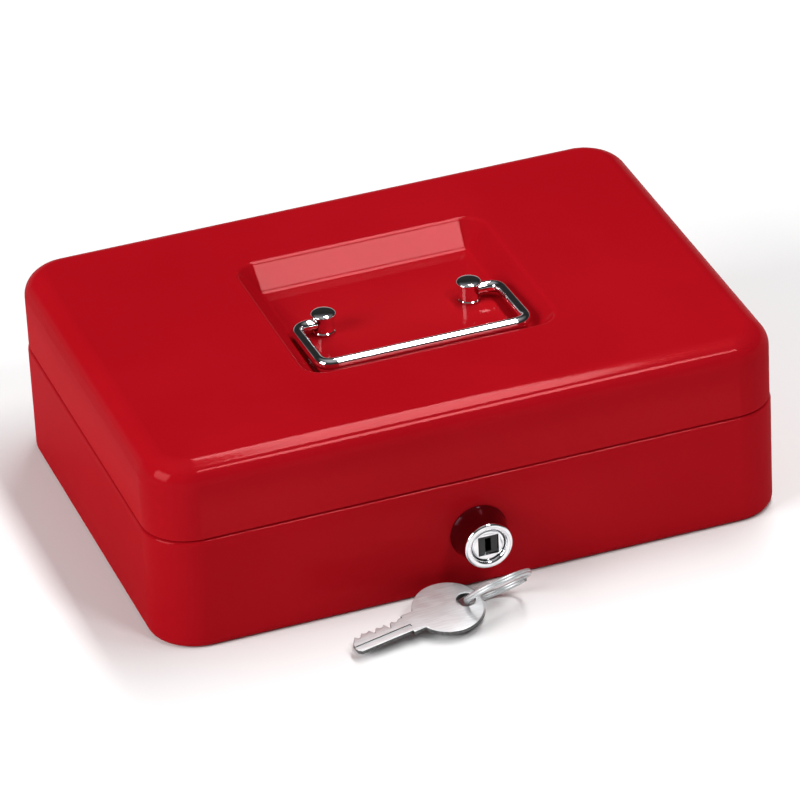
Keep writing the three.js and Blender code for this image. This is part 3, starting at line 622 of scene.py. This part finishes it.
# ---- rivets ----
def build_rivets():
    for index, side in enumerate(("left", "right")):
        for spot, out in enumerate((-RIVET_OUT, RIVET_OUT)):
            x = (-1 if index == 0 else 1) * HINGE_X + out
            for kind, z, wall_in, leaf, body in (
                ("body", BODY_RIVET_Z, REAR - SHEET, REAR + FIT + SHEET, "box"),
                ("lid", LID_RIVET_Z, LID_REAR - SHEET, LID_REAR + FIT + SHEET, "lid"),
            ):
                inside, outside = wall_in - FIT, leaf + FIT
                tail, shank, head = RIVET["tail"], RIVET["shank"], RIVET["head"]
                profile = [(0, inside - 0.8), (tail - 0.5, inside - 0.8)]
                profile += fillet((tail - 0.5, inside - 0.8), (tail - 0.05, inside - 0.7), (tail, inside), 3)
                profile += [(shank, inside), (shank, outside), (head, outside)]
                profile += fillet((head, outside), (head - 0.2, outside + 0.95), (1.1, outside + 1.15), 6)
                profile += [(0, outside + RIVET["dome"])]
                name = f"{kind}_rivet_{side}_{spot + 1}"
                made = object_of(f"{name}_domed", lathe(name, profile, (x, z), "y", 32))
                finish_piece(made, STEEL, body, [name], 45)


# ---- keys and split ring ----
def placing(angles, at):
    about_x, about_y, about_z = (math.radians(a) for a in angles)
    return (Matrix.Translation(Vector(at) * MM) @ Matrix.Rotation(about_z, 4, "Z")
            @ Matrix.Rotation(about_y, 4, "Y") @ Matrix.Rotation(about_x, 4, "X"))


RING_PLACE = placing((-RING_SET["lean"], -RING_SET["rise"], RING_SET["turn"]), RING_SET["at"])


def key_outline():
    centre = -KEY["hole_at"]
    shoulder, tip = centre - KEY["bow"] - 1, centre - KEY["bow"] - KEY["blade"]
    half = KEY["width"] / 2
    open_angle = math.asin((half + 1) / KEY["bow"])
    start, end = math.pi + open_angle, 3 * math.pi - open_angle
    points = []
    for i in range(65):
        a = start + (end - start) * i / 64
        points.append((centre + KEY["bow"] * math.cos(a), KEY["bow"] * math.sin(a)))
    points += [(shoulder - 3, half + 1), (shoulder - 3, half)]
    pitch = (shoulder - 5 - (tip + 2)) / len(KEY_TEETH)
    for index, depth in enumerate(KEY_TEETH):
        x = shoulder - 5 - pitch * index
        points += [(x, half), (x - pitch * 0.35, half - depth), (x - pitch * 0.65, half - depth)]
    points += [(tip + 2, half - 0.6), (tip, 0.6), (tip, -half + 1.2), (tip + 1.2, -half)]
    points += [(shoulder - 3, -half), (shoulder - 3, -half - 1)]
    return points, shoulder, tip


def build_key(name, angle, heading, body):
    outline, shoulder, tip = key_outline()
    turns = [-i / 40 * math.tau for i in range(40)]
    hole = [(KEY["hole"] * math.cos(a), KEY["hole"] * math.sin(a)) for a in turns]
    curve = bpy.data.curves.new(f"{name}_outline", "CURVE")
    curve.dimensions = "2D"
    curve.fill_mode = "BOTH"
    edge = 0.28
    curve.extrude = (KEY["thick"] / 2 - edge) * MM
    curve.bevel_depth = edge * MM
    curve.bevel_resolution = 2
    curve.offset = -edge * MM
    for points in (outline, hole):
        spline = curve.splines.new("POLY")
        spline.points.add(len(points) - 1)
        for spot, (x, y) in zip(spline.points, points):
            spot.co = (x * MM, y * MM, 0, 1)
        spline.use_cyclic_u = True
    drawn = object_of(f"{name}_drawn", curve)
    bpy.context.view_layer.update()
    mesh = bpy.data.meshes.new_from_object(drawn.evaluated_get(bpy.context.evaluated_depsgraph_get()))
    bpy.data.objects.remove(drawn)
    bpy.data.curves.remove(curve)
    bm = bmesh.new()
    bm.from_mesh(mesh)
    bmesh.ops.remove_doubles(bm, verts=bm.verts, dist=2e-6)
    bmesh.ops.recalc_face_normals(bm, faces=bm.faces)
    bm.to_mesh(mesh)
    bm.free()
    made = object_of(f"{name}_cut", mesh)
    top = KEY["thick"] / 2
    grooves = [slab("groove_top", tip - 1, shoulder - 2.2, -1.9, -0.5, top - 0.45, top + 1),
               slab("groove_under", tip - 1, shoulder - 2.2, -0.6, 0.7, -top - 1, -top + 0.45)]
    carve(made, grooves)
    local = Vector((math.cos(math.radians(angle)), math.sin(math.radians(angle)), 0)) * RING["radius"] * MM
    at = (RING_PLACE @ local) / MM
    # Painted shade: the key's side faces (normals not facing up or down) are marked to be shaded near black.
    mark = made.data.attributes.new("painted_shade_edge", "FLOAT", "FACE")
    for polygon in made.data.polygons:
        mark.data[polygon.index].value = 1.0 if abs(polygon.normal.z) < 0.6 else 0.0
    made.data.transform(placing((KEY_LIE["roll"], -KEY_LIE["pitch"], heading), at))
    return finish_piece(made, STEEL, body, [name], 40)


def build_ring():
    points, steps = [], 260
    for i in range(steps + 1):
        turn = i / steps * RING["turns"]
        a = math.pi * 0.15 + turn * math.tau
        lift = (turn / RING["turns"] - 0.5) * (RING["wire"] * 2 + FIT)
        points.append((math.cos(a) * RING["radius"], math.sin(a) * RING["radius"], lift))
    made = object_of("key_ring_wound", sweep_mesh("ring", points, RING["wire"], 20))
    made.data.transform(RING_PLACE)
    return finish_piece(made, STEEL, "keyring", ["key_ring"], 50)


# ---- CAD nodes that keep their shape: softened edges and a plated finish ----
def dress(node, material, width):
    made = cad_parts[node]
    made.data.materials.clear()
    made.data.materials.append(material)
    for polygon in made.data.polygons:
        polygon.material_index = 0
        polygon.use_smooth = True
    weld = made.modifiers.new("weld", "WELD")
    weld.merge_threshold = 1e-6
    soft = made.modifiers.new("round", "BEVEL")
    soft.width = width * MM
    soft.segments = 2
    soft.limit_method = "ANGLE"
    soft.angle_limit = math.radians(40)
    soft.harden_normals = False
    weighted = made.modifiers.new("weighted", "WEIGHTED_NORMAL")
    weighted.keep_sharp = True


build_tub()
build_lid()
build_bail()
for side in (-1, 1):
    build_post(side)
    build_washer(side)
build_bezel()
build_plug()
build_shutter()
build_tray()
build_rivets()
for key in KEY_SET:
    build_key(*key)
build_ring()
for side in ("left", "right"):
    dress(f"hinge_body_leaf_{side}", ZINC, 0.2)
    dress(f"hinge_lid_leaf_{side}", ZINC, 0.2)
    dress(f"hinge_pin_{side}", STEEL, 0.15)
    dress(f"tray_ledge_{side}", PAINT, 0.25)
for node, width in (("lock_housing", 0.2), ("lock_nut", 0.3), ("lock_cam", 0.2), ("cam_screw", 0.15),
                    ("lid_catch", 0.2)):
    dress(node, ZINC, width)


# ---- floor, light and camera ----
def build_stage():
    reach = 6000
    corners = [(x * reach, y * reach, 0) for x, y in ((-1, -1), (1, -1), (1, 1), (-1, 1))]
    mesh = mesh_of("floor", corners, [(0, 1, 2, 3)])
    floor = object_of("floor", mesh)
    n = Nodes("pale_floor", (0.86, 0.86, 0.86), 0.0, 0.9, 0.1)
    n.colour(n.blend(n.noise(2.0, 2), (0.85, 0.85, 0.85), (0.87, 0.87, 0.87)))
    mesh.materials.append(n.mat)


def softbox(name, at, size_x, size_y, radiance, aim=(0, 0, 0.04)):
    light = bpy.data.lights.new(name, "AREA")
    light.shape = "RECTANGLE"
    light.size, light.size_y = size_x, size_y
    light.energy = radiance * math.pi * size_x * size_y
    made = bpy.data.objects.new(name, light)
    bpy.context.scene.collection.objects.link(made)
    made.location = at
    made.rotation_euler = (Vector(aim) - Vector(at)).to_track_quat("-Z", "Y").to_euler()


def build_light():
    softbox("key_overhead", (0.60, 0.32, 2.2), 0.30, 2.07, 20.0, (0.60, 0.32, 0.0))
    softbox("front_right", (0.62, -1.28, 1.80), 0.42, 0.36, 23.0)
    softbox("left_wall", (-2.4, -0.5, 1.3), 1.6, 1.4, 8.5)
    world = bpy.data.worlds.new("studio")
    bpy.context.scene.world = world
    world.use_nodes = True
    tree = world.node_tree
    background = tree.nodes["Background"]
    coord = tree.nodes.new("ShaderNodeTexCoord")
    split = tree.nodes.new("ShaderNodeSeparateXYZ")
    ramp = tree.nodes.new("ShaderNodeValToRGB")
    tree.links.new(coord.outputs["Generated"], split.inputs["Vector"])
    tree.links.new(split.outputs["Z"], ramp.inputs["Fac"])
    tree.links.new(ramp.outputs["Color"], background.inputs["Color"])
    stops = [(0.0, 0.80), (0.10, 0.55), (0.24, 0.03), (0.62, 0.02), (0.80, 0.15), (1.0, 0.45)]
    ramp.color_ramp.elements[0].position = stops[0][0]
    ramp.color_ramp.elements[1].position = stops[-1][0]
    for position, _ in stops[1:-1]:
        ramp.color_ramp.elements.new(position)
    for element, (_, grey) in zip(ramp.color_ramp.elements, stops):
        element.color = (grey, grey, grey, 1)


def build_camera():
    az, el, roll, distance = -0.3202, 0.5349, -0.0530, 2.2904
    back = Vector((math.sin(az) * math.cos(el), -math.cos(az) * math.cos(el), math.sin(el)))
    right = Vector((math.cos(az), math.sin(az), 0))
    up = back.cross(right)
    side = math.cos(roll) * right + math.sin(roll) * up
    top = -math.sin(roll) * right + math.cos(roll) * up
    data = bpy.data.cameras.new("camera")
    data.sensor_width = 36
    data.lens = 268.5
    data.shift_x, data.shift_y = 0.0059, -0.0226
    data.clip_start, data.clip_end = 0.05, 50
    camera = bpy.data.objects.new("camera", data)
    bpy.context.scene.collection.objects.link(camera)
    at = Vector((0, 0, 0.040)) + back * distance
    camera.matrix_world = Matrix((
        (side.x, top.x, back.x, at.x),
        (side.y, top.y, back.y, at.y),
        (side.z, top.z, back.z, at.z),
        (0, 0, 0, 1),
    ))
    bpy.context.scene.camera = camera


build_stage()
build_light()
build_camera()
bpy.context.scene.view_settings.view_transform = "Standard"
